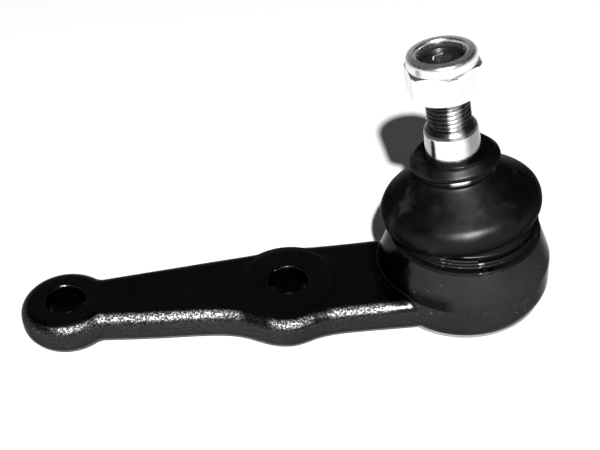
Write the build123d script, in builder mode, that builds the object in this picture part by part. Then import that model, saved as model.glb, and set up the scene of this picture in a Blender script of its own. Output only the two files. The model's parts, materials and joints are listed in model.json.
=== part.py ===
from build123d import *
import math
import os

# Suspension ball joint with a forged mounting arm.  Millimetres.
# Frame: +Z up along the housing axis, z = 0 on the underside of the closing
# plate, arm along -X with its two bolt holes on a line parallel to X.

# ---------------------------------------------------------------- dimensions
# ball stud
ball_z = 20.0            # height of the ball centre above the base
ball_r = 12.5
stud_lean_x = -0.11829   # direction of the stud axis as it stands at rest
stud_lean_y = 0.10169
neck_r = 6.6
taper_small_r = 7.30     # radius of the cone where it meets the thread side
taper_small_h = 33.9     # distance of that end from the ball centre
taper_large_h = 18.6
shoulder_mid_r, shoulder_mid_h = 7.02, 35.0   # shoulder between cone and thread
taper_ratio = 1.0 / 16   # radius change per length, a 1:8 cone on diameter
thread_r = 5.97          # M12 x 1.25
runout_r = 5.2
runout_h0, runout_h1 = 36.0, 36.4
stud_end_h = 55.2
socket_af = 4.0          # hexagon socket in the stud's end
socket_depth = 4.0

# lock nut, M12 prevailing torque type
nut_h = 45.6             # underside of the nut, from the ball centre
nut_af = 18.9
nut_corner_r = 10.35     # over the rounded corners
nut_hex_top = 54.0
nut_collar_r = 9.4
nut_collar_h = 55.95     # the collar is rolled inward from here
nut_roll_r, nut_roll_h = 8.15, 57.05   # where the roll runs out into the lip
nut_crest_r, nut_crest_h = 7.2, 57.2   # highest ring of the rolled lip
nut_mouth_r, nut_mouth_h = 6.5, 56.1   # the lip rounds down to here inside
nut_seat_top = 55.5      # underside of the lip
nut_bore_r = 6.02
nut_turn_deg = -24.5     # one corner of the hexagon, from +X

# housing
wall_r = 23.85           # greatest radius of the housing
wall_z0, wall_z1 = 6.3, 13.3
shoulder_r = 4.0         # wall into cone
rim_r = 21.95            # rolled rim at the base
rim_top = 1.6
neck_cone_r, neck_cone_z = 20.7, 22.3
groove_r, groove_z0, groove_z1 = 17.6, 22.6, 26.0
neck_top_r, neck_top_z = 18.1, 26.9
bore_r = 16.0
bore_top_z = 20.8
mouth_r, mouth_z = 12.2, 26.0
plate_r, plate_t = 18.35, 1.6
rim_inner_r = 15.6
plate_pad_r = 10.9

# arm
arm_z0 = 1.0             # underside of the arm
arm_z1 = 11.9            # top of the two bosses, where bolt heads or nuts sit
web_z1 = 11.5            # the web between them is forged a little lower
arm_top_r = 4.0          # forged radius along the arm's upper edge
arm_foot_r = 5.2         # and along its lower edge
arm_root_r = 2.0         # where the arm runs into the housing
boss_root_r = 5.0        # where the web runs into the end boss
hole_y = -4.0
hole1_x = -112.0
hole2_x = -50.0
hole_r = 5.5             # medium clearance for M10
hole_edge = 0.9
hole_foot_edge = 0.3
end_boss_r = 12.85
pad_edge_r = 3.0
pad_r0, pad_r1 = 14.6, 12.2   # raised pad round the inner hole, foot and top

# boot
boot_tube_r, boot_tube_R, boot_tube_h = 5.0, 17.2, 10.4
boot_wall = 1.8
ring_wire_r = 0.52
ring_mean_r = 19.55
ring_pitch = 1.06
ring_turns = 2.75
top_wire_r = 0.72
top_ring_R, top_ring_h = 11.15, 23.3

os.makedirs("parts", exist_ok=True)

# ------------------------------------------------------------------- frames
lean = math.hypot(stud_lean_x, stud_lean_y)
stud_dir = Vector(stud_lean_x, stud_lean_y, math.sqrt(1 - lean * lean))
ball_centre = Vector(0, 0, ball_z)

# a plane that holds the stud axis: local x is radial, local y runs up the stud
stud_side = Vector(1, 0, 0) - stud_dir * stud_dir.X
stud_plane = Plane(
    origin=ball_centre,
    x_dir=stud_side.normalized(),
    z_dir=stud_side.normalized().cross(stud_dir),
)
stud_axis = Axis(ball_centre, stud_dir)


def stud_level(h):
    """Plane square to the stud axis, h above the ball centre."""
    return Plane(
        origin=ball_centre + stud_dir * h,
        x_dir=stud_side.normalized(),
        z_dir=stud_dir,
    )


def taper_r(h):
    """Radius of the stud's cone at distance h from the ball centre."""
    return taper_small_r + (taper_small_h - h) * taper_ratio


# ------------------------------------------------- forged arm and housing
# The arm's two edges in plan, from the end boss to the housing.
arm_back = [
    (-109.0, 4.75),
    (-103.6, 5.35),
    (-91.6, 6.80),
    (-83.1, 7.76),
    (-74.5, 8.80),
    (-65.9, 9.75),
    (-61.6, 10.25),
    (-57.2, 10.95),
    (-52.8, 12.10),
    (-48.5, 12.45),
    (-44.2, 11.98),
    (-39.9, 11.88),
    (-31.2, 12.05),
    (-22.4, 12.40),
    (-9.0, 12.70),
]
arm_front = [
    (-109.0, -12.85),
    (-103.6, -13.30),
    (-92.2, -14.25),
    (-83.9, -14.75),
    (-75.6, -15.15),
    (-71.5, -15.50),
    (-67.3, -16.20),
    (-63.2, -17.60),
    (-59.2, -19.80),
    (-55.2, -21.60),
    (-51.1, -22.35),
    (-47.0, -21.75),
    (-42.7, -20.15),
    (-38.5, -19.30),
    (-34.3, -19.05),
    (-26.0, -18.98),
    (-17.0, -19.05),
    (-7.0, -19.05),
]

def where_web_meets_boss(edge):
    """True for the edges that the web makes on the end boss."""
    middle = edge.center()
    return (
        -104.5 < middle.X < -98.0
        and arm_z0 + 0.3 < middle.Z < arm_z1 - 0.1
        and edge.length > 0.2
        and abs(edge.tangent_at(0.5).Z) + abs(edge.tangent_at(0.5).Y) > 0.2
    )


with BuildPart() as arm_blank:
    with BuildSketch(Plane.XY.offset(arm_z0)):
        with BuildLine():
            Spline(*arm_back)
            Spline(*arm_front)
            Line(arm_back[0], arm_front[0])
            Polyline(arm_back[-1], (-5, 12.70), (-5, -19.05), arm_front[-1])
        make_face()
    extrude(amount=web_z1 - arm_z0)
    top_loop = (
        arm_blank.faces().sort_by(Axis.Z)[-1].edges().filter_by_position(Axis.X, -108.9, -5.5)
    )
    fillet(top_loop, arm_top_r)
    bottom_loop = (
        arm_blank.faces().sort_by(Axis.Z)[0].edges().filter_by_position(Axis.X, -108.9, -5.5)
    )
    fillet(bottom_loop, arm_foot_r)
    # end boss, turned about its hole, with the same forged radii
    with BuildSketch(Plane.XZ.offset(-hole_y)):
        with BuildLine():
            Polyline(
                (hole1_x, arm_z0),
                (hole1_x - end_boss_r + arm_foot_r, arm_z0),
            )
            RadiusArc(
                (hole1_x - end_boss_r + arm_foot_r, arm_z0),
                (hole1_x - end_boss_r, arm_z0 + arm_foot_r),
                arm_foot_r,
            )
            Line(
                (hole1_x - end_boss_r, arm_z0 + arm_foot_r),
                (hole1_x - end_boss_r, arm_z1 - arm_top_r),
            )
            RadiusArc(
                (hole1_x - end_boss_r, arm_z1 - arm_top_r),
                (hole1_x - end_boss_r + arm_top_r, arm_z1),
                arm_top_r,
            )
            Polyline(
                (hole1_x - end_boss_r + arm_top_r, arm_z1),
                (hole1_x, arm_z1),
                (hole1_x, arm_z0),
            )
        make_face()
    revolve(axis=Axis((hole1_x, hole_y, 0), (0, 0, 1)))
    fillet(arm_blank.edges().filter_by(where_web_meets_boss), boss_root_r)


def on_pad_rim(edge):
    """True for the pad's upper rim."""
    return (
        edge.geom_type == GeomType.CIRCLE
        and abs(edge.radius - pad_r1) < 0.01
        and abs(edge.center().Z - arm_z1) < 0.01
    )


def where_arm_meets_wall(edge):
    """True for the edges that the arm makes on the housing's upright wall."""
    on_own_rim = edge.geom_type == GeomType.CIRCLE and (
        abs(edge.center().Z - web_z1) > 0.2
    )
    points = [edge @ (step / 4) for step in range(5)]
    return (
        not on_own_rim
        and edge.length > 0.3
        and all(
            abs(math.hypot(point.X, point.Y) - wall_r) < 0.01
            and wall_z0 - 0.1 < point.Z < web_z1 + 0.1
            and point.X < -8
            for point in points
        )
    )


with BuildPart() as forged_arm_housing:
    # outer form of the housing, turned about Z
    with BuildSketch(Plane.XZ):
        with BuildLine():
            Polyline(
                (0, 0),
                (21.25, 0),
                (rim_r, 0.7),
                (rim_r, rim_top),
                (22.35, rim_top + 0.3),
            )
            Spline(
                (22.35, rim_top + 0.3),
                (23.30, 3.9),
                (wall_r, wall_z0),
                tangents=((0.55, 1), (0, 1)),
            )
            Polyline(
                (wall_r, wall_z0),
                (wall_r, wall_z1),
                (neck_cone_r, neck_cone_z),
                (neck_cone_r - 0.3, groove_z0),
                (groove_r, groove_z0),
                (groove_r, groove_z1),
                (neck_top_r, groove_z1),
                (neck_top_r, neck_top_z),
                (0, neck_top_z),
                (0, 0),
            )
        make_face()
    revolve(axis=Axis.Z)
    shoulder = (
        forged_arm_housing.edges()
        .filter_by(GeomType.CIRCLE)
        .filter_by(lambda e: abs(e.radius - wall_r) < 0.01)
        .sort_by(Axis.Z)[-1]
    )
    fillet(shoulder, shoulder_r)
    # the arm runs into the housing, with a forged radius where they meet
    add(arm_blank.part)
    fillet(forged_arm_housing.edges().filter_by(where_arm_meets_wall), arm_root_r)
    # raised pad round the inner hole
    with BuildSketch(Plane.XZ.offset(-hole_y)):
        with BuildLine():
            Polyline(
                (hole2_x, web_z1 - 3),
                (hole2_x - pad_r0, web_z1 - 3),
                (hole2_x - pad_r0, web_z1 - 0.15),
                (hole2_x - pad_r1, arm_z1),
                (hole2_x, arm_z1),
                (hole2_x, web_z1 - 3),
            )
        make_face()
    revolve(axis=Axis((hole2_x, hole_y, 0), (0, 0, 1)))
    fillet(forged_arm_housing.edges().filter_by(on_pad_rim), pad_edge_r)
    # two bolt holes, rounded at the top and with broken edges below
    with BuildSketch(Plane.XY.offset(arm_z0 - 1)):
        with Locations((hole1_x, hole_y), (hole2_x, hole_y)):
            Circle(hole_r)
    extrude(amount=arm_z1 - arm_z0 + 2, mode=Mode.SUBTRACT)
    hole_rims = (
        forged_arm_housing.edges()
        .filter_by(GeomType.CIRCLE)
        .filter_by(lambda e: abs(e.radius - hole_r) < 0.01)
        .sort_by(Axis.Z)
    )
    fillet(hole_rims[-2:], hole_edge)
    fillet(
        forged_arm_housing.edges()
        .filter_by(GeomType.CIRCLE)
        .filter_by(lambda e: abs(e.radius - hole_r) < 0.01)
        .sort_by(Axis.Z)[:2],
        hole_foot_edge,
    )
    # the bore for the seats, opened from below and closed by the rolled rim
    with BuildSketch(Plane.XZ):
        with BuildLine():
            Polyline(
                (0, -1),
                (rim_inner_r, -1),
                (rim_inner_r, plate_t),
                (plate_r, plate_t),
                (plate_r, 2 * plate_t),
                (bore_r, 2 * plate_t),
                (bore_r, bore_top_z),
                (mouth_r, mouth_z),
                (mouth_r + 0.4, neck_top_z),
                (mouth_r + 0.4, neck_top_z + 1),
                (0, neck_top_z + 1),
                (0, -1),
            )
        make_face()
    revolve(axis=Axis.Z, mode=Mode.SUBTRACT)

forged_arm_housing.part.label = "forged_arm_housing"
export_step(forged_arm_housing.part, "parts/forged_arm_housing.step")

# ------------------------------------------------------------ closing plate
# A pressed disc: its edge sits in the counterbore under the rolled rim, and
# its centre is pressed down flush with the rim.
with BuildPart() as closing_plate:
    with BuildSketch(Plane.XZ):
        with BuildLine():
            Polyline(
                (0, 0),
                (plate_pad_r, 0),
                (plate_pad_r + 1.6, plate_t),
                (plate_r, plate_t),
                (plate_r, 2 * plate_t),
                (plate_pad_r + 0.94, 2 * plate_t),
                (plate_pad_r - 0.66, plate_t),
                (0, plate_t),
                (0, 0),
            )
        make_face()
    revolve(axis=Axis.Z)

closing_plate.part.label = "closing_plate"
export_step(closing_plate.part, "parts/closing_plate.step")

# -------------------------------------------------------------- disc spring
# A cone washer between the plate and the lower seat; it preloads the ball.
with BuildPart() as disc_spring:
    with BuildSketch(Plane.XZ):
        with BuildLine():
            Polyline(
                (14.9, 3.2),
                (15.2, 4.55),
                (6.9, 6.55),
                (6.6, 5.2),
                (14.9, 3.2),
            )
        make_face()
    revolve(axis=Axis.Z)

disc_spring.part.label = "disc_spring"
export_step(disc_spring.part, "parts/disc_spring.step")

# ------------------------------------------------------------- bearing seats
seat_r = ball_r + 0.05
with BuildPart() as upper_bearing_seat:
    with BuildSketch(Plane.XZ):
        with BuildLine():
            Polyline(
                (0, ball_z + 0.1),
                (bore_r, ball_z + 0.1),
                (bore_r, bore_top_z),
                (mouth_r, mouth_z),
                (0, mouth_z),
                (0, ball_z + 0.1),
            )
        make_face()
    revolve(axis=Axis.Z)
    with BuildSketch(Plane.XZ):
        with BuildLine():
            JernArc((0, ball_z - seat_r), (1, 0), seat_r, 180)
            Line((0, ball_z - seat_r), (0, ball_z + seat_r))
        make_face()
    revolve(axis=Axis.Z, mode=Mode.SUBTRACT)

upper_bearing_seat.part.label = "upper_bearing_seat"
export_step(upper_bearing_seat.part, "parts/upper_bearing_seat.step")

seat_foot_z = 6.6
with BuildPart() as lower_bearing_seat:
    with BuildSketch(Plane.XZ):
        with BuildLine():
            Polyline(
                (4.0, seat_foot_z),
                (bore_r - 1.4, seat_foot_z),
                (bore_r - 0.08, seat_foot_z + 2.0),
                (bore_r - 0.08, ball_z - 0.1),
                (4.0, ball_z - 0.1),
                (4.0, seat_foot_z),
            )
        make_face()
    revolve(axis=Axis.Z)
    with BuildSketch(Plane.XZ):
        with BuildLine():
            JernArc((0, ball_z - seat_r), (1, 0), seat_r, 180)
            Line((0, ball_z - seat_r), (0, ball_z + seat_r))
        make_face()
    revolve(axis=Axis.Z, mode=Mode.SUBTRACT)

lower_bearing_seat.part.label = "lower_bearing_seat"
export_step(lower_bearing_seat.part, "parts/lower_bearing_seat.step")

# ---------------------------------------------------------------- ball stud
# One turned and rolled piece: ball, neck, cone, runout groove and thread.
ball_to_neck_h = math.sqrt(ball_r ** 2 - neck_r ** 2)
with BuildPart() as ball_stud:
    with BuildSketch(stud_plane):
        with BuildLine():
            # the ball, flattened underneath
            flat_h = -11.7
            flat_r = math.sqrt(ball_r ** 2 - flat_h ** 2)
            mid_a = math.radians(10)
            ThreePointArc(
                (flat_r, flat_h),
                (ball_r * math.cos(mid_a), ball_r * math.sin(mid_a)),
                (neck_r, ball_to_neck_h),
            )
            Polyline(
                (neck_r, ball_to_neck_h),
                (neck_r, 14.2),
                (taper_r(taper_large_h) - 0.25, taper_large_h - 1.4),
                (taper_r(taper_large_h), taper_large_h),
                (taper_small_r, taper_small_h),
                (shoulder_mid_r, shoulder_mid_h),
                (6.15, 35.85),
                (runout_r, runout_h0),
                (runout_r, runout_h1),
                (thread_r, runout_h1 + 0.6),
                (thread_r, stud_end_h - 1.0),
                (thread_r - 0.9, stud_end_h),
                (0, stud_end_h),
                (0, flat_h),
                (flat_r, flat_h),
            )
        make_face()
    revolve(axis=stud_axis)
    with BuildSketch(stud_level(stud_end_h - socket_depth)):
        RegularPolygon(radius=socket_af / 2, side_count=6, major_radius=False)
    extrude(amount=socket_depth + 1, mode=Mode.SUBTRACT)

ball_stud.part.label = "ball_stud"
export_step(ball_stud.part, "parts/ball_stud.step")

# ---------------------------------------------------------------- dust boot
# Rubber bell: a lip that seals on the cone, a groove for the upper ring, the
# bell, and a cuff that sits in the housing's groove under the lower ring.
top_a = math.radians(53)
end_a = math.radians(-62)
inner_tube_r = boot_tube_r - boot_wall


def tube_point(radius, angle):
    return (
        boot_tube_R + radius * math.cos(angle),
        boot_tube_h + radius * math.sin(angle),
    )


with BuildPart() as dust_boot:
    with BuildSketch(stud_plane):
        with BuildLine():
            Polyline(
                (taper_r(19.9) + 0.06, 19.9),
                (taper_r(26.1) + 0.06, 26.1),
                (9.3, 27.2),
                (10.5, 27.0),
                (12.0, 25.5),
                (12.35, 24.7),
                (11.8, 24.07),
                (10.38, 24.07),
                (10.38, 22.53),
                (11.1, 22.53),
                (10.75, 21.5),
                tube_point(boot_tube_r, top_a),
            )
            ThreePointArc(
                tube_point(boot_tube_r, top_a),
                tube_point(boot_tube_r, 0),
                tube_point(boot_tube_r, end_a),
            )
            Line(tube_point(boot_tube_r, end_a), tube_point(inner_tube_r, end_a))
            ThreePointArc(
                tube_point(inner_tube_r, end_a),
                tube_point(inner_tube_r, 0),
                tube_point(inner_tube_r, top_a),
            )
            Polyline(
                tube_point(inner_tube_r, top_a),
                (10.3, 19.5),
                (taper_r(19.9) + 0.06, 19.9),
            )
        make_face()
    revolve(axis=stud_axis)
    # clear of the housing's shoulder, its neck and the lower ring
    with BuildSketch(Plane.XZ):
        with BuildLine():
            Polyline(
                (0, 5),
                (25, 5),
                (25, 11.5),
                (neck_cone_r + 0.55, neck_cone_z),
                (20.45, neck_cone_z + 0.9),
                (20.45, groove_z1 + 0.6),
                (neck_top_r + 0.3, neck_top_z + 0.4),
                (0, neck_top_z + 0.4),
                (0, 5),
            )
        make_face()
    revolve(axis=Axis.Z, mode=Mode.SUBTRACT)
    with BuildSketch(Plane.XZ):
        with BuildLine():
            Polyline(
                (groove_r + 0.05, groove_z0 + 0.15),
                (19.0, groove_z0 + 0.15),
                (19.0, 29.6),
                (neck_top_r + 0.05, 29.6),
                (neck_top_r + 0.05, groove_z1 - 0.05),
                (groove_r + 0.05, groove_z1 - 0.05),
                (groove_r + 0.05, groove_z0 + 0.15),
            )
        make_face()
    revolve(axis=Axis.Z)

dust_boot.part.label = "dust_boot"
export_step(dust_boot.part, "parts/dust_boot.step")

# --------------------------------------------------------------- boot rings
# lower ring: spring wire wound nearly three turns around the cuff
ring_height = ring_pitch * ring_turns
ring_z0 = groove_z0 + ring_wire_r + 0.04
with BuildPart() as boot_lower_ring:
    with BuildLine(Plane.XY.offset(ring_z0)) as ring_path:
        Helix(pitch=ring_pitch, height=ring_height, radius=ring_mean_r)
    with BuildSketch(Plane(origin=ring_path.line @ 0, z_dir=ring_path.line % 0)):
        Circle(ring_wire_r)
    sweep(path=ring_path.line, is_frenet=True)

boot_lower_ring.part.label = "boot_lower_ring"
export_step(boot_lower_ring.part, "parts/boot_lower_ring.step")

# upper ring: a round wire ring in the boot's neck groove
with BuildPart() as boot_upper_ring:
    with BuildSketch(stud_plane):
        with Locations((top_ring_R, top_ring_h)):
            Circle(top_wire_r)
    revolve(axis=stud_axis)

boot_upper_ring.part.label = "boot_upper_ring"
export_step(boot_upper_ring.part, "parts/boot_upper_ring.step")

# ----------------------------------------------------------------- lock nut
# Hexagon with chamfered ends, and a round collar rolled over the nylon ring.
chamfer_slope = math.tan(math.radians(30))
flat_r = nut_af / 2 - 0.1
with BuildPart() as lock_nut:
    with BuildSketch(stud_level(nut_h)) as hexagon:
        RegularPolygon(
            radius=nut_af / 2,
            side_count=6,
            major_radius=False,
            rotation=nut_turn_deg,
        )
    extrude(amount=nut_hex_top - nut_h)
    # turned envelope: rounded corners and both end chamfers
    with BuildSketch(stud_plane):
        with BuildLine():
            Polyline(
                (0, nut_h),
                (flat_r, nut_h),
                (nut_corner_r, nut_h + (nut_corner_r - flat_r) * chamfer_slope),
                (nut_corner_r, nut_hex_top - (nut_corner_r - flat_r) * chamfer_slope),
                (flat_r, nut_hex_top),
                (0, nut_hex_top),
                (0, nut_h),
            )
        make_face()
    revolve(axis=stud_axis, mode=Mode.INTERSECT)
    # collar
    with BuildSketch(stud_plane):
        with BuildLine():
            Polyline(
                (0, nut_hex_top - 0.2),
                (nut_collar_r, nut_hex_top - 0.2),
                (nut_collar_r, nut_collar_h),
            )
            ThreePointArc(
                (nut_collar_r, nut_collar_h),
                (9.02, 56.71),
                (nut_roll_r, nut_roll_h),
            )
            ThreePointArc(
                (nut_roll_r, nut_roll_h),
                (7.70, 57.16),
                (nut_crest_r, nut_crest_h),
            )
            ThreePointArc(
                (nut_crest_r, nut_crest_h),
                (6.70, 56.83),
                (nut_mouth_r, nut_mouth_h),
            )
            Polyline(
                (nut_mouth_r, nut_mouth_h),
                (0, nut_mouth_h),
                (0, nut_hex_top - 0.2),
            )
        make_face()
    revolve(axis=stud_axis)
    # bore, seat of the nylon ring and mouth
    with BuildSketch(stud_plane):
        with BuildLine():
            Polyline(
                (0, nut_h - 1),
                (nut_bore_r + 1.6, nut_h - 1),
                (nut_bore_r + 0.6, nut_h),
                (nut_bore_r, nut_h + 0.6),
                (nut_bore_r, nut_hex_top + 0.2),
                (8.2, nut_hex_top + 0.2),
                (8.2, nut_seat_top),
                (nut_mouth_r, nut_seat_top + 0.15),
                (nut_mouth_r, nut_crest_h + 1),
                (0, nut_crest_h + 1),
                (0, nut_h - 1),
            )
        make_face()
    revolve(axis=stud_axis, mode=Mode.SUBTRACT)

lock_nut.part.label = "lock_nut"
export_step(lock_nut.part, "parts/lock_nut.step")

# ------------------------------------------------------------- nylon insert
with BuildPart() as nylon_insert:
    with BuildSketch(stud_plane):
        with BuildLine():
            Polyline(
                (nut_bore_r, nut_hex_top + 0.22),
                (8.18, nut_hex_top + 0.22),
                (8.18, nut_seat_top - 0.03),
                (nut_mouth_r, nut_seat_top + 0.12),
                (nut_bore_r, nut_seat_top - 0.15),
                (nut_bore_r, nut_hex_top + 0.22),
            )
        make_face()
    revolve(axis=stud_axis)

nylon_insert.part.label = "nylon_insert"
export_step(nylon_insert.part, "parts/nylon_insert.step")
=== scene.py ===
import json
import math

import bpy
import numpy as np
from mathutils import Matrix, Vector, noise


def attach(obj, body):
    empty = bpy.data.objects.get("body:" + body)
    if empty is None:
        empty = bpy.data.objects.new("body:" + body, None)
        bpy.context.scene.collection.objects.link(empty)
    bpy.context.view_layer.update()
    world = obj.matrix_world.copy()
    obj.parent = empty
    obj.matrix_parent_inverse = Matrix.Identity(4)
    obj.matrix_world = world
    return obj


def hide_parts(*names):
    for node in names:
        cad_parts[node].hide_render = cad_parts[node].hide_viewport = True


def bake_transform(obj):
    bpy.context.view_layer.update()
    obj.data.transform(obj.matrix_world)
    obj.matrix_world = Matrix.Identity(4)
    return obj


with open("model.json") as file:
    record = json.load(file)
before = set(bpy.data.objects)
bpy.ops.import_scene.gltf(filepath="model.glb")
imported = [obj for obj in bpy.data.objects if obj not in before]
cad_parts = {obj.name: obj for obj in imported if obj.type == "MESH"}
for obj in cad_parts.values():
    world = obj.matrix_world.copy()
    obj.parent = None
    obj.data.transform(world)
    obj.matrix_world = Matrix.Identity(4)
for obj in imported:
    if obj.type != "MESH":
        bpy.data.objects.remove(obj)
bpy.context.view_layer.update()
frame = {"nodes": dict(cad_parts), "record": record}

MM = 0.001


scene = bpy.context.scene
scene.view_settings.view_transform = "Standard"
scene.view_settings.look = "None"
scene.view_settings.exposure = 0.0
scene.view_settings.gamma = 1.0

# ------------------------------------------------------------------ the frame
# stud axis as it stands at rest, and the plane of its lean, in millimetres
BALL = np.array([0.0, 0.0, 20.0])
AXIS = np.array([-0.11829, 0.10169, 0.0])
AXIS[2] = math.sqrt(1 - AXIS[0] ** 2 - AXIS[1] ** 2)
E1 = np.array([1.0, 0.0, 0.0]) - AXIS * AXIS[0]
E1 /= np.linalg.norm(E1)
E2 = np.cross(AXIS, E1)


def on_stud(r, h, psi):
    """A point at radius r and height h above the ball's centre, at azimuth psi round the stud."""
    return BALL + AXIS * h + r * (math.cos(psi) * E1 + math.sin(psi) * E2)


# --------------------------------------------------------------------- camera
cam_data = bpy.data.cameras.new("camera")
cam_data.sensor_fit = "HORIZONTAL"
cam_data.sensor_width = 36.0
cam_data.lens = 84.0
cam_data.clip_start = 0.01
cam_data.clip_end = 20.0
cam = bpy.data.objects.new("camera", cam_data)
scene.collection.objects.link(cam)
right = Vector((0.99595487, -0.07652767, -0.04708943))
up = Vector((0.08487453, 0.62917160, 0.77261854))
back = Vector((-0.02949936, -0.77348989, 0.63312177))
place = Matrix((right, up, back)).transposed().to_4x4()
place.translation = Vector((-0.0569303758, -0.2964822356, 0.2703822786))
cam.matrix_world = place
scene.camera = cam


# ------------------------------------------------------------------ materials
class Mat:
    """A small helper that wires one Principled material from its surface detail."""

    def __init__(self, name):
        self.mat = bpy.data.materials.new(name)
        self.mat.use_nodes = True
        self.nt = self.mat.node_tree
        self.bsdf = self.nt.nodes["Principled BSDF"]
        self.coord = self.nt.nodes.new("ShaderNodeTexCoord").outputs["Object"]

    def set(self, **values):
        for key, value in values.items():
            self.bsdf.inputs[key.replace("_", " ")].default_value = value

    def link(self, a, b):
        self.nt.links.new(a, b)

    def noise(self, scale, detail=3.0, rough=0.55, distortion=0.0, vector=None, dims="3D"):
        n = self.nt.nodes.new("ShaderNodeTexNoise")
        n.noise_dimensions = dims
        n.inputs["Scale"].default_value = scale
        n.inputs["Detail"].default_value = detail
        n.inputs["Roughness"].default_value = rough
        n.inputs["Distortion"].default_value = distortion
        if dims == "1D":
            self.link(vector, n.inputs["W"])
        else:
            self.link(vector or self.coord, n.inputs["Vector"])
        return n.outputs["Fac"]

    def range(self, value, a, b, c, d, smooth=False):
        n = self.nt.nodes.new("ShaderNodeMapRange")
        n.clamp = True
        if smooth:
            n.interpolation_type = "SMOOTHSTEP"
        for i, x in enumerate((a, b, c, d)):
            n.inputs[i + 1].default_value = x
        self.link(value, n.inputs[0])
        return n.outputs[0]

    def math(self, op, a, b=0.0):
        n = self.nt.nodes.new("ShaderNodeMath")
        n.operation = op
        for i, x in enumerate((a, b)):
            if isinstance(x, (int, float)):
                n.inputs[i].default_value = x
            else:
                self.link(x, n.inputs[i])
        return n.outputs[0]

    def dot(self, axis, origin=(0, 0, 0)):
        s = self.nt.nodes.new("ShaderNodeVectorMath")
        s.operation = "SUBTRACT"
        self.link(self.coord, s.inputs[0])
        s.inputs[1].default_value = origin
        d = self.nt.nodes.new("ShaderNodeVectorMath")
        d.operation = "DOT_PRODUCT"
        self.link(s.outputs[0], d.inputs[0])
        d.inputs[1].default_value = axis
        return d.outputs["Value"]

    def mix(self, fac, a, b):
        n = self.nt.nodes.new("ShaderNodeMix")
        n.data_type = "RGBA"
        if isinstance(fac, (int, float)):
            n.inputs[0].default_value = fac
        else:
            self.link(fac, n.inputs[0])
        for i, x in ((6, a), (7, b)):
            if isinstance(x, tuple):
                n.inputs[i].default_value = (*x, 1.0) if len(x) == 3 else x
            else:
                self.link(x, n.inputs[i])
        return n.outputs[2]

    def bump(self, *layers):
        """layers: (height, distance, strength), coarse to fine."""
        normal = None
        for height, distance, strength in layers:
            n = self.nt.nodes.new("ShaderNodeBump")
            n.inputs["Distance"].default_value = distance
            n.inputs["Strength"].default_value = strength
            self.link(height, n.inputs["Height"])
            if normal is not None:
                self.link(normal, n.inputs["Normal"])
            normal = n.outputs["Normal"]
        self.link(normal, self.bsdf.inputs["Normal"])

    def color(self, socket):
        self.link(socket, self.bsdf.inputs["Base Color"])

    def rough(self, socket):
        self.link(socket, self.bsdf.inputs["Roughness"])


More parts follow.
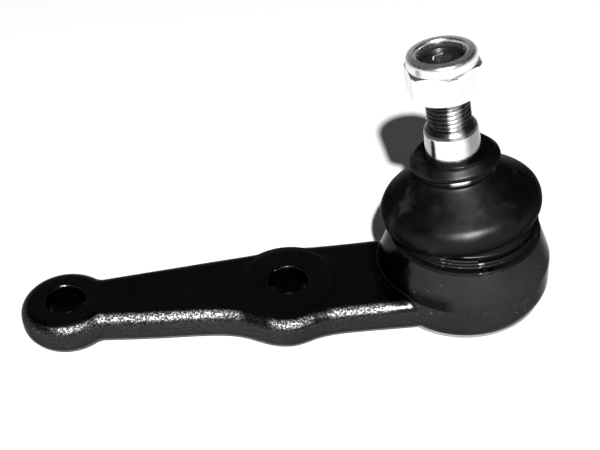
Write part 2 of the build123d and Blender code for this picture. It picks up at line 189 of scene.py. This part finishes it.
def black_paint():
    """Satin black coat over a forged skin, bare and silver on the rolled rim."""
    m = Mat("black_paint")
    z = m.dot((0, 0, 1))
    edge = m.noise(420, 3)
    edge_z = m.math("ADD", z, m.math("MULTIPLY", m.math("SUBTRACT", edge, 0.5), 0.0007))
    bare = m.range(edge_z, 0.00195, 0.00165, 0.0, 1.0)
    blotch = m.noise(70, 4)
    coat = m.mix(m.range(blotch, 0.35, 0.7, 0, 1), (0.026, 0.026, 0.027), (0.036, 0.036, 0.037))
    metal = m.mix(m.noise(300, 3), (0.30, 0.30, 0.29), (0.46, 0.46, 0.45))
    # painted shade: the bevel at the top of the housing's neck, under the boot's ring, is darkened and made rougher so
    # it catches no highlight, except over a short broken stretch at the front
    bevel = m.math("LESS_THAN", m.math("ABSOLUTE", m.math("SUBTRACT", z, 0.0224)), 0.0004)
    x, y = m.dot((1, 0, 0)), m.dot((0, 1, 0))
    spot = m.math("MULTIPLY", m.range(x, 0.0002, 0.0012, 0, 1), m.range(x, 0.0052, 0.0064, 1, 0))
    spot = m.math("MULTIPLY", spot, m.range(m.noise(900, 2), 0.46, 0.52, 0, 1))
    bevel_shade = m.math("MULTIPLY", bevel, m.math("SUBTRACT", 1.0, spot))
    coat = m.mix(bevel_shade, coat, (0.0075, 0.0075, 0.0075))
    # painted shade: the coat is darkened in the root between arm and housing
    rho = m.math("SQRT", m.math("ADD", m.math("MULTIPLY", x, x), m.math("MULTIPLY", y, y)))
    root_shade = m.math("MULTIPLY", m.range(rho, 0.0228, 0.0236, 0, 1), m.range(rho, 0.0262, 0.0275, 1, 0))
    root_shade = m.math("MULTIPLY", root_shade, m.math("MULTIPLY", m.range(z, 0.0112, 0.0116, 0, 1), m.range(x, -0.009, -0.006, 1, 0)))
    coat = m.mix(root_shade, coat, (0.008, 0.008, 0.008))
    chip = m.math("MULTIPLY", m.range(m.noise(1250, 1.0), 0.755, 0.785, 0, 1), m.range(m.noise(85, 2), 0.50, 0.56, 0, 1))
    coat = m.mix(chip, coat, (0.30, 0.30, 0.29))
    # painted glints: on the arm's top edge, where the light's highlight runs, the coat's reflectance is painted in
    # bright and dark specks that break the highlight up; fainter specks over the rest of the forging
    forged = m.range(m.dot((1, 0, 0)), -0.027, -0.019, 1.0, 0.16, smooth=True)
    speck = m.noise(2000, 2.0, 0.60)
    glint_band = m.math("MULTIPLY", m.range(z, 0.0082, 0.0106, 0, 1, smooth=True), m.range(z, 0.01110, 0.01140, 1, 0))
    for hole_x in (-0.112, -0.050):
        dx, dy = m.dot((1, 0, 0), (hole_x, 0, 0)), m.dot((0, 1, 0), (0, -0.004, 0))
        away = m.math("SQRT", m.math("ADD", m.math("MULTIPLY", dx, dx), m.math("MULTIPLY", dy, dy)))
        glint_band = m.math("MULTIPLY", glint_band, m.range(away, 0.0058, 0.0072, 0.12, 1.0))
    # fewer painted glints where the inner boss meets the web, and round the free end
    for a, b, c, d in ((-0.0650, -0.0622, -0.0575, -0.0548), (-0.0450, -0.0434, -0.0405, -0.0388)):
        fewer_glints = m.math("MULTIPLY", m.range(x, a, b, 0, 0.70, smooth=True), m.range(x, c, d, 1, 0, smooth=True))
        glint_band = m.math("MULTIPLY", glint_band, m.math("SUBTRACT", 1.0, fewer_glints))
    glint_band = m.math("MULTIPLY", glint_band, m.range(x, -0.1200, -0.1080, 0.45, 1.0, smooth=True))
    glint_band = m.math("MULTIPLY", glint_band, forged)
    wear_and_glints = m.math("ADD", m.math("MULTIPLY", glint_band, 0.86), m.math("MULTIPLY", forged, 0.14))
    coat = m.mix(m.math("MULTIPLY", m.range(speck, 0.50, 0.42, 0, 1), wear_and_glints), coat, (0.010, 0.010, 0.010))
    coat = m.mix(m.math("MULTIPLY", m.range(speck, 0.52, 0.60, 0, 1), wear_and_glints), coat, (0.160, 0.160, 0.158))
    m.color(m.mix(bare, coat, metal))
    m.set(Metallic=1.0)
    m.set(Specular_Tint=(0.48, 0.48, 0.48, 1.0))
    grain = m.math("MULTIPLY", m.noise(1050, 3, 0.65), forged)
    skin = m.noise(620, 3, 0.5)
    dents = m.noise(150, 2, 0.5)
    satin = m.range(skin, 0.3, 0.75, 0.11, 0.17)
    scale = m.math("MULTIPLY", glint_band, 0.34)
    m.rough(m.math("ADD", satin, m.math("ADD", scale, m.math("MULTIPLY", bevel_shade, 0.55))))
    m.bump((dents, 0.00022, 0.35), (m.math("MULTIPLY", skin, forged), 0.00010, 0.6), (grain, 0.00010, 1.0))
    return m.mat


def turned_steel():
    """Bright turned and ground steel of the stud."""
    m = Mat("turned_steel")
    h = m.dot(tuple(AXIS), tuple(BALL * MM))
    lines = m.noise(9000, 2, 0.7, vector=h, dims="1D")
    broad = m.noise(160, 3)
    # painted highlight: a bright band runs down the cone and the thread on the side facing the view, where the light's
    # reflection falls; the cone is painted darker to either side of it, and the thread is dark with oil elsewhere
    side = Vector((0.9960, -0.0765, -0.0471))
    side = (side - Vector(AXIS) * side.dot(Vector(AXIS))).normalized()
    t = m.math("ADD", m.dot(tuple(side), tuple(BALL * MM)), m.math("MULTIPLY", m.math("SUBTRACT", broad, 0.5), 0.0016))
    taper_highlight = m.math("MULTIPLY", m.range(t, -0.0058, -0.0048, 0.25, 1.0, smooth=True), m.range(t, 0.0014, 0.0046, 1.0, 0.0, smooth=True))
    ground = m.mix(taper_highlight, m.mix(m.noise(900, 3), (0.20, 0.20, 0.195), (0.36, 0.36, 0.35)), (0.86, 0.86, 0.85))
    thread_highlight = m.math("MULTIPLY", m.range(t, -0.0012, 0.0002, 0.0, 1.0, smooth=True), m.range(t, 0.0022, 0.0036, 1.0, 0.0, smooth=True))
    oil_and_painted_light = m.mix(m.noise(500, 3), (0.055, 0.055, 0.055), (0.10, 0.10, 0.10))
    oil_and_painted_light = m.mix(thread_highlight, oil_and_painted_light, (0.50, 0.50, 0.49))
    # painted shade: the end face, down inside the nut, is darkened; painted highlight: the socket is lighter
    across = m.math("SQRT", m.math("ADD", m.math("POWER", m.dot(tuple(E1), tuple(BALL * MM)), 2.0),
                                   m.math("POWER", m.dot(tuple(E2), tuple(BALL * MM)), 2.0)))
    end_face_shade = m.range(h, 0.0540, 0.0546, 0.0, 1.0)
    oil_and_painted_light = m.mix(end_face_shade, oil_and_painted_light, (0.022, 0.022, 0.022))
    oil_and_painted_light = m.mix(m.range(across, 0.0020, 0.0025, 1.0, 0.0), oil_and_painted_light, (0.45, 0.45, 0.44))
    wave = m.math("MULTIPLY", m.math("SUBTRACT", m.noise(500, 3), 0.5), 0.0006)
    rolled = m.range(m.math("ADD", h, wave), 0.0339, 0.0343, 0.0, 1.0, smooth=True)
    m.color(m.mix(rolled, ground, oil_and_painted_light))
    m.set(Metallic=1.0)
    polish = m.range(m.noise(700, 4), 0.3, 0.75, 0.12, 0.20)
    m.rough(m.math("ADD", polish, m.math("MULTIPLY", rolled, 0.12)))
    m.bump((broad, 0.00004, 0.3), (lines, 0.000007, 0.6))
    return m.mat


def zinc_plate():
    """Bright zinc of the nut, with the faint cloudiness of plating."""
    m = Mat("zinc_plate")
    cloud = m.noise(240, 4)
    m.color(m.mix(cloud, (0.76, 0.77, 0.78), (0.85, 0.86, 0.87)))
    m.set(Metallic=1.0)
    # the hexagon's corners are handled and peened, so they are duller than its flats
    u = m.dot(tuple(E1), tuple(BALL * MM))
    v = m.dot(tuple(E2), tuple(BALL * MM))
    rho = m.math("SQRT", m.math("ADD", m.math("MULTIPLY", u, u), m.math("MULTIPLY", v, v)))
    height = m.dot(tuple(AXIS), tuple(BALL * MM))
    corner = m.math("MULTIPLY", m.range(rho, 0.00985, 0.01020, 0.0, 0.50), m.range(height, 0.0529, 0.0533, 1, 0))
    m.rough(m.math("ADD", m.range(m.noise(900, 4), 0.3, 0.75, 0.20, 0.32), corner))
    m.bump((cloud, 0.00004, 0.30), (m.noise(1800, 2), 0.000004, 0.4))
    return m.mat


def wire_steel():
    m = Mat("ring_wire")
    wear_and_glints = m.range(m.noise(420, 3), 0.62, 0.70, 0, 1)
    dark = m.mix(wear_and_glints, (0.010, 0.010, 0.010), (0.10, 0.10, 0.098))
    x, y, z = m.dot((1, 0, 0)), m.dot((0, 1, 0)), m.dot((0, 0, 1))
    # painted highlight: a short lighter stretch on the front of the upper ring
    ring_highlight = m.math("MULTIPLY", m.range(z, 0.030, 0.034, 0, 1), m.range(y, -0.001, -0.003, 0, 1))
    ring_highlight = m.math("MULTIPLY", ring_highlight, m.range(x, -0.0062, -0.0048, 0, 1))
    ring_highlight = m.math("MULTIPLY", ring_highlight, m.range(x, -0.0022, -0.0004, 1, 0))
    m.color(m.mix(ring_highlight, dark, (0.28, 0.28, 0.27)))
    m.set(Specular_Tint=(0.25, 0.25, 0.25, 1.0))
    m.set(Metallic=1.0)
    m.rough(m.range(wear_and_glints, 0.0, 1.0, 0.56, 0.34))
    m.bump((m.noise(2600, 3), 0.000015, 0.5))
    return m.mat


def plate_steel():
    """Pressed bare sheet: lightly oiled, with fine rolling marks and small stains."""
    m = Mat("plate_steel")
    rolled = m.nt.nodes.new("ShaderNodeMapping")
    rolled.inputs["Scale"].default_value = (1.0, 14.0, 1.0)
    m.link(m.coord, rolled.inputs["Vector"])
    grain = m.noise(700, 4, vector=rolled.outputs[0])
    stain = m.range(m.noise(110, 5, 0.65), 0.5, 0.72, 0, 1)
    m.color(m.mix(stain, (0.60, 0.59, 0.57), (0.36, 0.33, 0.29)))
    m.set(Metallic=1.0)
    m.rough(m.range(grain, 0.3, 0.7, 0.28, 0.45))
    m.bump((m.noise(90, 2), 0.0001, 0.3), (grain, 0.00001, 0.6))
    return m.mat


def boot_rubber():
    """Moulded black rubber: satin, with faint dust and a fine moulded grain."""
    m = Mat("boot_rubber")
    dust = m.range(m.noise(95, 5, 0.6, 0.4), 0.52, 0.80, 0.0, 1.0, smooth=True)
    m.color(m.mix(dust, (0.0150, 0.0150, 0.0150), (0.038, 0.038, 0.038)))
    m.link(m.range(dust, 0.0, 1.0, 1.0, 0.6), m.bsdf.inputs["Metallic"])
    m.rough(m.range(m.noise(300, 4), 0.3, 0.75, 0.36, 0.48))
    m.set(IOR=1.5, Specular_IOR_Level=0.10, Specular_Tint=(0.40, 0.40, 0.40, 1.0))
    m.bump((m.noise(110, 2), 0.00018, 0.3), (m.noise(900, 3), 0.00002, 0.5), (m.noise(3600, 2), 0.000008, 0.5))
    return m.mat


def nylon():
    m = Mat("nylon")
    m.color(m.mix(m.noise(400, 3), (0.004, 0.004, 0.0045), (0.010, 0.010, 0.011)))
    m.rough(m.range(m.noise(1500, 3), 0.3, 0.7, 0.35, 0.5))
    m.set(IOR=1.5, Specular_IOR_Level=0.35)
    m.bump((m.noise(2400, 3), 0.00002, 0.5))
    return m.mat


def seat_plastic():
    m = Mat("seat_plastic")
    m.color(m.mix(m.noise(300, 3), (0.72, 0.70, 0.62), (0.80, 0.78, 0.71)))
    m.rough(m.range(m.noise(1200, 3), 0.3, 0.7, 0.35, 0.5))
    m.bump((m.noise(1800, 3), 0.00002, 0.5))
    return m.mat


materials = {
    "black_paint": black_paint(),
    "turned_steel": turned_steel(),
    "zinc_plate": zinc_plate(),
    "ring_wire": wire_steel(),
    "plate_steel": plate_steel(),
    "boot_rubber": boot_rubber(),
    "nylon": nylon(),
    "seat_plastic": seat_plastic(),
}
for entry in frame["record"]["subparts"]:
    node = frame["nodes"][entry["node"]]
    node.data.materials.clear()
    node.data.materials.append(materials[entry["material_slot"]])


# ------------------------------------------------------------- mesh utilities
def mesh_object(name, verts, faces, material, sharp_deg=None):
    mesh = bpy.data.meshes.new(name)
    mesh.from_pydata([tuple(v) for v in (np.asarray(verts) * MM)], [], faces)
    mesh.validate()
    mesh.update()
    mesh.shade_smooth()
    if sharp_deg:
        mesh.set_sharp_from_angle(angle=math.radians(sharp_deg))
    mesh.materials.append(materials[material])
    obj = bpy.data.objects.new(name, mesh)
    scene.collection.objects.link(obj)
    return obj


def grid_faces(rows, cols, start=0, wrap_rows=False):
    """Quads between rows of cols points each, every row closed on itself."""
    faces = []
    last = rows if wrap_rows else rows - 1
    for i in range(last):
        a, b = start + i * cols, start + ((i + 1) % rows) * cols
        for j in range(cols):
            k = (j + 1) % cols
            faces.append((a + j, a + k, b + k, b + j))
    return faces


def rounded(points, radii, steps=5):
    """A polyline with its inner corners rounded to the given radii."""
    pts = [np.array(p, float) for p in points]
    out = [pts[0]]
    for i in range(1, len(pts) - 1):
        p, a, b = pts[i], pts[i - 1], pts[i + 1]
        u, v = (a - p), (b - p)
        lu, lv = np.linalg.norm(u), np.linalg.norm(v)
        u, v = u / lu, v / lv
        r = radii[i] if isinstance(radii, (list, tuple)) else radii
        angle = math.acos(max(-1.0, min(1.0, float(u @ v))))
        if r <= 0 or angle > math.pi - 0.02:
            out.append(p)
            continue
        cut = min(r / math.tan(angle / 2), 0.48 * lu, 0.48 * lv)
        q0, q1 = p + u * cut, p + v * cut
        for s in range(steps + 1):
            t = s / steps
            out.append((1 - t) ** 2 * q0 + 2 * t * (1 - t) * p + t * t * q1)
    out.append(pts[-1])
    return out


def resample(points, count):
    """count points spaced evenly along a polyline, ends kept."""
    p = np.array(points, float)
    d = np.concatenate([[0], np.cumsum(np.linalg.norm(np.diff(p, axis=0), axis=1))])
    t = np.linspace(0, d[-1], count)
    return np.stack([np.interp(t, d, p[:, k]) for k in range(p.shape[1])], 1)


# ------------------------------------------------------------------ ball stud
PITCH = 1.25
THREAD_R = 5.97
ROOT_R = 5.22
THREAD_H0, THREAD_H1 = 36.45, 55.2


def thread_radius(h, psi):
    """Radius of the M12 x 1.25 thread's surface, right-handed round the stud."""
    phase = ((h - PITCH * psi / (2 * math.pi)) / PITCH) % 1.0
    lift = 0.5 - 0.5 * math.cos(2 * math.pi * phase)  # 1 on the crest, 0 at the root
    return ROOT_R + (THREAD_R - ROOT_R) * lift ** 0.85


def make_stud():
    n = 144
    ball_r, neck_r = 12.5, 6.6
    rows = []  # each row: list of (r, h) per azimuth

    def ring(r, h):
        rows.append([(r, h)] * n)

    flat_h = -11.7
    flat_r = math.sqrt(ball_r ** 2 - flat_h ** 2)
    top_h = math.sqrt(ball_r ** 2 - neck_r ** 2)
    a0, a1 = math.atan2(flat_h, flat_r), math.atan2(top_h, neck_r)
    for r in (0.01, flat_r * 0.5):
        ring(r, flat_h)
    for k in range(49):
        a = a0 + (a1 - a0) * k / 48
        ring(ball_r * math.cos(a), ball_r * math.sin(a))

    def taper(h):
        return 7.30 + (33.9 - h) / 16

    profile = rounded(
        [
            (neck_r, top_h), (neck_r, 14.2), (taper(18.6) - 0.25, 17.2),
            (taper(18.6), 18.6), (taper(33.9), 33.9), (7.02, 35.0), (6.15, 35.85),
            (5.22, 36.08), (5.18, 36.3), (5.22, THREAD_H0),
        ],
        [0, 0.8, 0.5, 0.4, 0.2, 0.5, 0.2, 0.15, 0.1, 0], 4,
    )
    for a, b in zip(profile[:-1], profile[1:]):
        steps = max(1, int(np.linalg.norm(b - a) / 1.2))
        for k in range(1, steps + 1):
            p = a + (b - a) * k / steps
            ring(p[0], p[1])
    start = len(rows)
    dh = PITCH / 18
    count = int(round((THREAD_H1 - THREAD_H0) / dh))
    for k in range(count + 1):
        h = THREAD_H0 + (THREAD_H1 - THREAD_H0) * k / count
        row = []
        for j in range(n):
            r = thread_radius(h, 2 * math.pi * j / n)
            r = min(r, ROOT_R + (h - THREAD_H0) * 1.3)        # lead-in at the runout
            r = min(r, THREAD_R - 0.95 + (THREAD_H1 - h))     # chamfered end
            row.append((r, h))
        rows.append(row)
    # end face with its hexagon socket
    half = 2.0
    turn = math.radians(12)

    def hexagon(psi, af):
        t = (psi - turn) % (math.pi / 3) - math.pi / 6
        return af / math.cos(t)

    def hex_row(af, h, mix=0.0):
        rows.append(
            [
                ((1 - mix) * hexagon(2 * math.pi * j / n, af) + mix * af * 1.1, h)
                for j in range(n)
            ]
        )

    ring(4.7, THREAD_H1)
    hex_row(half * 1.28, THREAD_H1, 0.9)
    hex_row(half * 1.12, THREAD_H1, 0.35)
    hex_row(half, THREAD_H1 - 0.25)
    hex_row(half, THREAD_H1 - 0.6)
    hex_row(half, THREAD_H1 - 4.3)
    hex_row(half * 0.98, THREAD_H1 - 4.5)
    ring(0.8, THREAD_H1 - 4.9)
    ring(0.01, THREAD_H1 - 5.0)
    verts = []
    for row in rows:
        for j, (r, h) in enumerate(row):
            verts.append(on_stud(r, h, 2 * math.pi * j / n))
    faces = grid_faces(len(rows), n)
    low, high = len(verts), len(verts) + 1
    verts.append(on_stud(0, flat_h, 0))
    verts.append(on_stud(0, THREAD_H1 - 5.0, 0))
    last = (len(rows) - 1) * n
    for j in range(n):
        k = (j + 1) % n
        faces.append((low, k, j))
        faces.append((high, last + j, last + k))
    return mesh_object("ball_stud_threaded", verts, faces, "turned_steel", 32)


stud = make_stud()
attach(stud, "stud")
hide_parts("ball_stud")


# ------------------------------------------------------------------ dust boot
LEAN = math.radians(139.3154)
TUBE_R, TUBE_C = 5.0, (17.2, 10.4)
TOP_ANGLE = math.radians(53)


def lip_r(h):
    return 7.30 + (33.9 - h) / 16 + 0.06


def in_housing(p):
    """(radius, height) of a point in the housing's frame."""
    return math.hypot(p[0], p[1]), p[2]


def boot_column(psi):
    """The boot's closed section at one azimuth, as points in space."""
    c = math.cos(psi - LEAN)
    crown = rounded(
        [
            (lip_r(24.6), 24.6), (lip_r(26.2), 26.2), (9.3, 27.35), (10.5, 27.1),
            (12.15, 25.45), (12.4, 24.6), (11.85, 24.05), (10.42, 24.02),
            (10.42, 22.55), (11.15, 22.5), (10.75, 21.45),
            (TUBE_C[0] + TUBE_R * math.cos(TOP_ANGLE), TUBE_C[1] + TUBE_R * math.sin(TOP_ANGLE)),
        ],
        [0, 0.25, 0.9, 0.9, 0.5, 0.4, 0.25, 0.2, 0.2, 0.3, 0.55, 0], 4,
    )
    crown_a = resample(crown[: len(crown) - 1], 56)
    # the bell's upper side hangs very slightly between crease and shoulder
    p0, p1 = crown[-2], crown[-1]
    side = []
    for k in range(1, 15):
        t = k / 14
        p = p0 + (p1 - p0) * t
        side.append(p + np.array([-0.12, -0.16]) * math.sin(math.pi * t) * (1 - t))
    outer = [on_stud(p[0], p[1], psi) for p in crown_a] + [on_stud(p[0], p[1], psi) for p in side]
    # round the shoulder until the skirt is over the ring, or meets the cuff
    found = None
    for k in range(1, 400):
        a = TOP_ANGLE - math.radians(0.4) * k
        q = on_stud(TUBE_C[0] + TUBE_R * math.cos(a), TUBE_C[1] + TUBE_R * math.sin(a), psi)
        rho, z = in_housing(q)
        if a < 0 and ((rho <= 20.8 and z < 27.45) or rho <= 18.75):
            found = a
            break
    end_a = found
    for k in range(1, 37):
        a = TOP_ANGLE + (end_a - TOP_ANGLE) * k / 36
        outer.append(on_stud(TUBE_C[0] + TUBE_R * math.cos(a), TUBE_C[1] + TUBE_R * math.sin(a), psi))
    tip = outer[-1]
    rho, z = in_housing(tip)
    phi = math.atan2(tip[1], tip[0])

    def at(r, height):
        return np.array([r * math.cos(phi), r * math.sin(phi), height])

    # turned up inside, over the ring and down into the housing's groove
    over = 26.98
    inside = min(20.42, rho - 0.02)
    skirt = max(0.0, min(1.0, (rho - 18.75) / 1.95))
    control = [
        (rho, z),
        (rho - 0.22 * skirt, z - 0.10 * skirt - 0.05 * (1 - skirt)),
        (inside, z + (over - z) * 0.08),
        (inside - 0.02 * skirt, z + (over - z) * 0.5),
        (inside - 0.15 * skirt + 0.06 * (1 - skirt), z + (over - z) * 0.94),
        (inside * 0.45 + 19.15 * 0.55, over + 0.06 * skirt),
        (19.02, 26.75),
        (18.98, 26.0),
        (18.98, 22.80),
    ]
    under = resample(rounded(control, [0, 0.25, 0.25, 0.5, 0.3, 0.4, 0.2, 0.5, 0], 4), 40)
    outer += [at(r, height) for r, height in under[1:]]
    # inside of the cuff and of the bell
    inner_a = math.radians(-26.0 + 31.0 * c)
    inner_r = TUBE_R - 1.5
    join = on_stud(TUBE_C[0] + inner_r * math.cos(inner_a), TUBE_C[1] + inner_r * math.sin(inner_a), psi)
    jr, jz = in_housing(join)
    back_control = [
        (18.98, 22.80), (17.68, 22.80), (17.68, 25.95), (18.17, 25.95), (18.17, 27.3),
        (18.17 + (jr - 18.17) * 0.12, 28.1), (18.17 + (jr - 18.17) * 0.6, 28.2 + (jz - 28.2) * 0.35),
        (jr, jz),
    ]
    cuff = resample(rounded(back_control, [0, 0.15, 0.1, 0.1, 0.4, 0.5, 0.6, 0], 3), 34)
    outer += [at(r, height) for r, height in cuff[1:]]
    for k in range(1, 19):
        a = inner_a + (TOP_ANGLE - inner_a) * k / 18
        outer.append(on_stud(TUBE_C[0] + inner_r * math.cos(a), TUBE_C[1] + inner_r * math.sin(a), psi))
    end = (TUBE_C[0] + inner_r * math.cos(TOP_ANGLE), TUBE_C[1] + inner_r * math.sin(TOP_ANGLE))
    bore = resample(
        rounded([end, (10.2, 19.75), (lip_r(20.0), 20.0), (lip_r(24.6), 24.6)], [0, 0.5, 0.4, 0], 4), 26
    )
    outer += [on_stud(p[0], p[1], psi) for p in bore[1:-1]]
    return outer


def make_boot():
    n = 216
    columns = [boot_column(2 * math.pi * j / n) for j in range(n)]
    m = len(columns[0])
    verts = np.array(columns)  # azimuth, section, xyz
    # the slight unevenness of moulded rubber, on the bell only
    shape = verts.copy()
    for j in range(n):
        for i in range(56, 56 + 14 + 36):
            p = verts[j, i]
            w = math.sin(math.pi * (i - 56) / 50.0)
            d = noise.noise(Vector(p * 0.11)) * 0.16 + noise.noise(Vector(p * 0.33)) * 0.05
            radial = p - BALL
            radial = radial / np.linalg.norm(radial)
            shape[j, i] = p + radial * d * w
    verts = shape.reshape(-1, 3)
    faces = []
    for j in range(n):
        k = (j + 1) % n
        for i in range(m):
            l = (i + 1) % m
            faces.append((j * m + i, j * m + l, k * m + l, k * m + i))
    return mesh_object("dust_boot_moulded", verts, faces, "boot_rubber", 50)


boot = make_boot()
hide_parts("dust_boot")
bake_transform(boot)

# ------------------------------------------------------------ floor and light
floor_mesh = bpy.data.meshes.new("floor")
s = 3.0
floor_mesh.from_pydata([(-s, -s, 0), (s, -s, 0), (s, s, 0), (-s, s, 0)], [], [(0, 1, 2, 3)])
floor = bpy.data.objects.new("floor", floor_mesh)
scene.collection.objects.link(floor)
floor.location.z = -0.00005
paper = Mat("paper")
paper.color(paper.mix(paper.noise(6, 2), (0.38, 0.38, 0.38), (0.395, 0.395, 0.395)))
paper.set(Roughness=0.9)
floor_mesh.materials.append(paper.mat)

world = bpy.data.worlds.new("studio")
world.use_nodes = True
sky = world.node_tree.nodes
direction = sky.new("ShaderNodeTexCoord")
split = sky.new("ShaderNodeSeparateXYZ")
glow = sky.new("ShaderNodeMapRange")  # pale studio walls low down, a dark ceiling
glow.interpolation_type = "SMOOTHSTEP"
for i, x in enumerate((0.22, 0.42, 0.68, 0.045)):
    glow.inputs[i + 1].default_value = x
side = sky.new("ShaderNodeMapRange")  # brighter in front of the object than behind it
for i, x in enumerate((-0.3, 0.3, 1.0, 0.6)):
    side.inputs[i + 1].default_value = x
walls = sky.new("ShaderNodeMath")
walls.operation = "MULTIPLY"
toward = sky.new("ShaderNodeVectorMath")
toward.operation = "DOT_PRODUCT"
toward.inputs[1].default_value = (-0.10, 0.72, 0.687)
panel = sky.new("ShaderNodeMapRange")  # a dim panel high behind the object
panel.interpolation_type = "SMOOTHSTEP"
for i, x in enumerate((0.80, 0.93, 0.0, 0.08)):
    panel.inputs[i + 1].default_value = x
total = sky.new("ShaderNodeMath")
above = sky.new("ShaderNodeVectorMath")
above.operation = "DOT_PRODUCT"
above.inputs[1].default_value = (0.0, -0.20, 0.98)
lamp = sky.new("ShaderNodeMapRange")  # a dim panel overhead
lamp.interpolation_type = "SMOOTHSTEP"
for i, x in enumerate((0.91, 0.97, 0.0, 0.24)):
    lamp.inputs[i + 1].default_value = x
panels = sky.new("ShaderNodeMath")
wire = world.node_tree.links.new
wire(direction.outputs["Generated"], split.inputs[0])
wire(direction.outputs["Generated"], toward.inputs[0])
wire(split.outputs["Z"], glow.inputs[0])
wire(split.outputs["Y"], side.inputs[0])
wire(glow.outputs[0], walls.inputs[0])
wire(side.outputs[0], walls.inputs[1])
wire(toward.outputs["Value"], panel.inputs[0])
wire(walls.outputs[0], total.inputs[0])
wire(direction.outputs["Generated"], above.inputs[0])
wire(above.outputs["Value"], lamp.inputs[0])
wire(panel.outputs[0], panels.inputs[0])
wire(lamp.outputs[0], panels.inputs[1])
wire(panels.outputs[0], total.inputs[1])
wire(total.outputs[0], sky["Background"].inputs[1])
sky["Background"].inputs[0].default_value = (1.0, 1.0, 1.0, 1.0)
scene.world = world


def area_light(name, azimuth, elevation, distance, size, power, target=(0.0, 0.0, 0.03), shape="DISK"):
    """A soft light; azimuth -90 stands in front of the object."""
    data = bpy.data.lights.new(name, "AREA")
    data.shape = shape
    data.size = size
    data.energy = power
    obj = bpy.data.objects.new(name, data)
    scene.collection.objects.link(obj)
    a, e = math.radians(azimuth), math.radians(elevation)
    way = Vector((math.cos(a) * math.cos(e), math.sin(a) * math.cos(e), math.sin(e)))
    obj.location = Vector(target) + way * distance
    obj.rotation_euler = way.to_track_quat("Z", "Y").to_euler()
    return obj


area_light("key", -90.0, 47.0, 2.0, 0.06, 155.0, (-0.03, 0.0, 0.03))
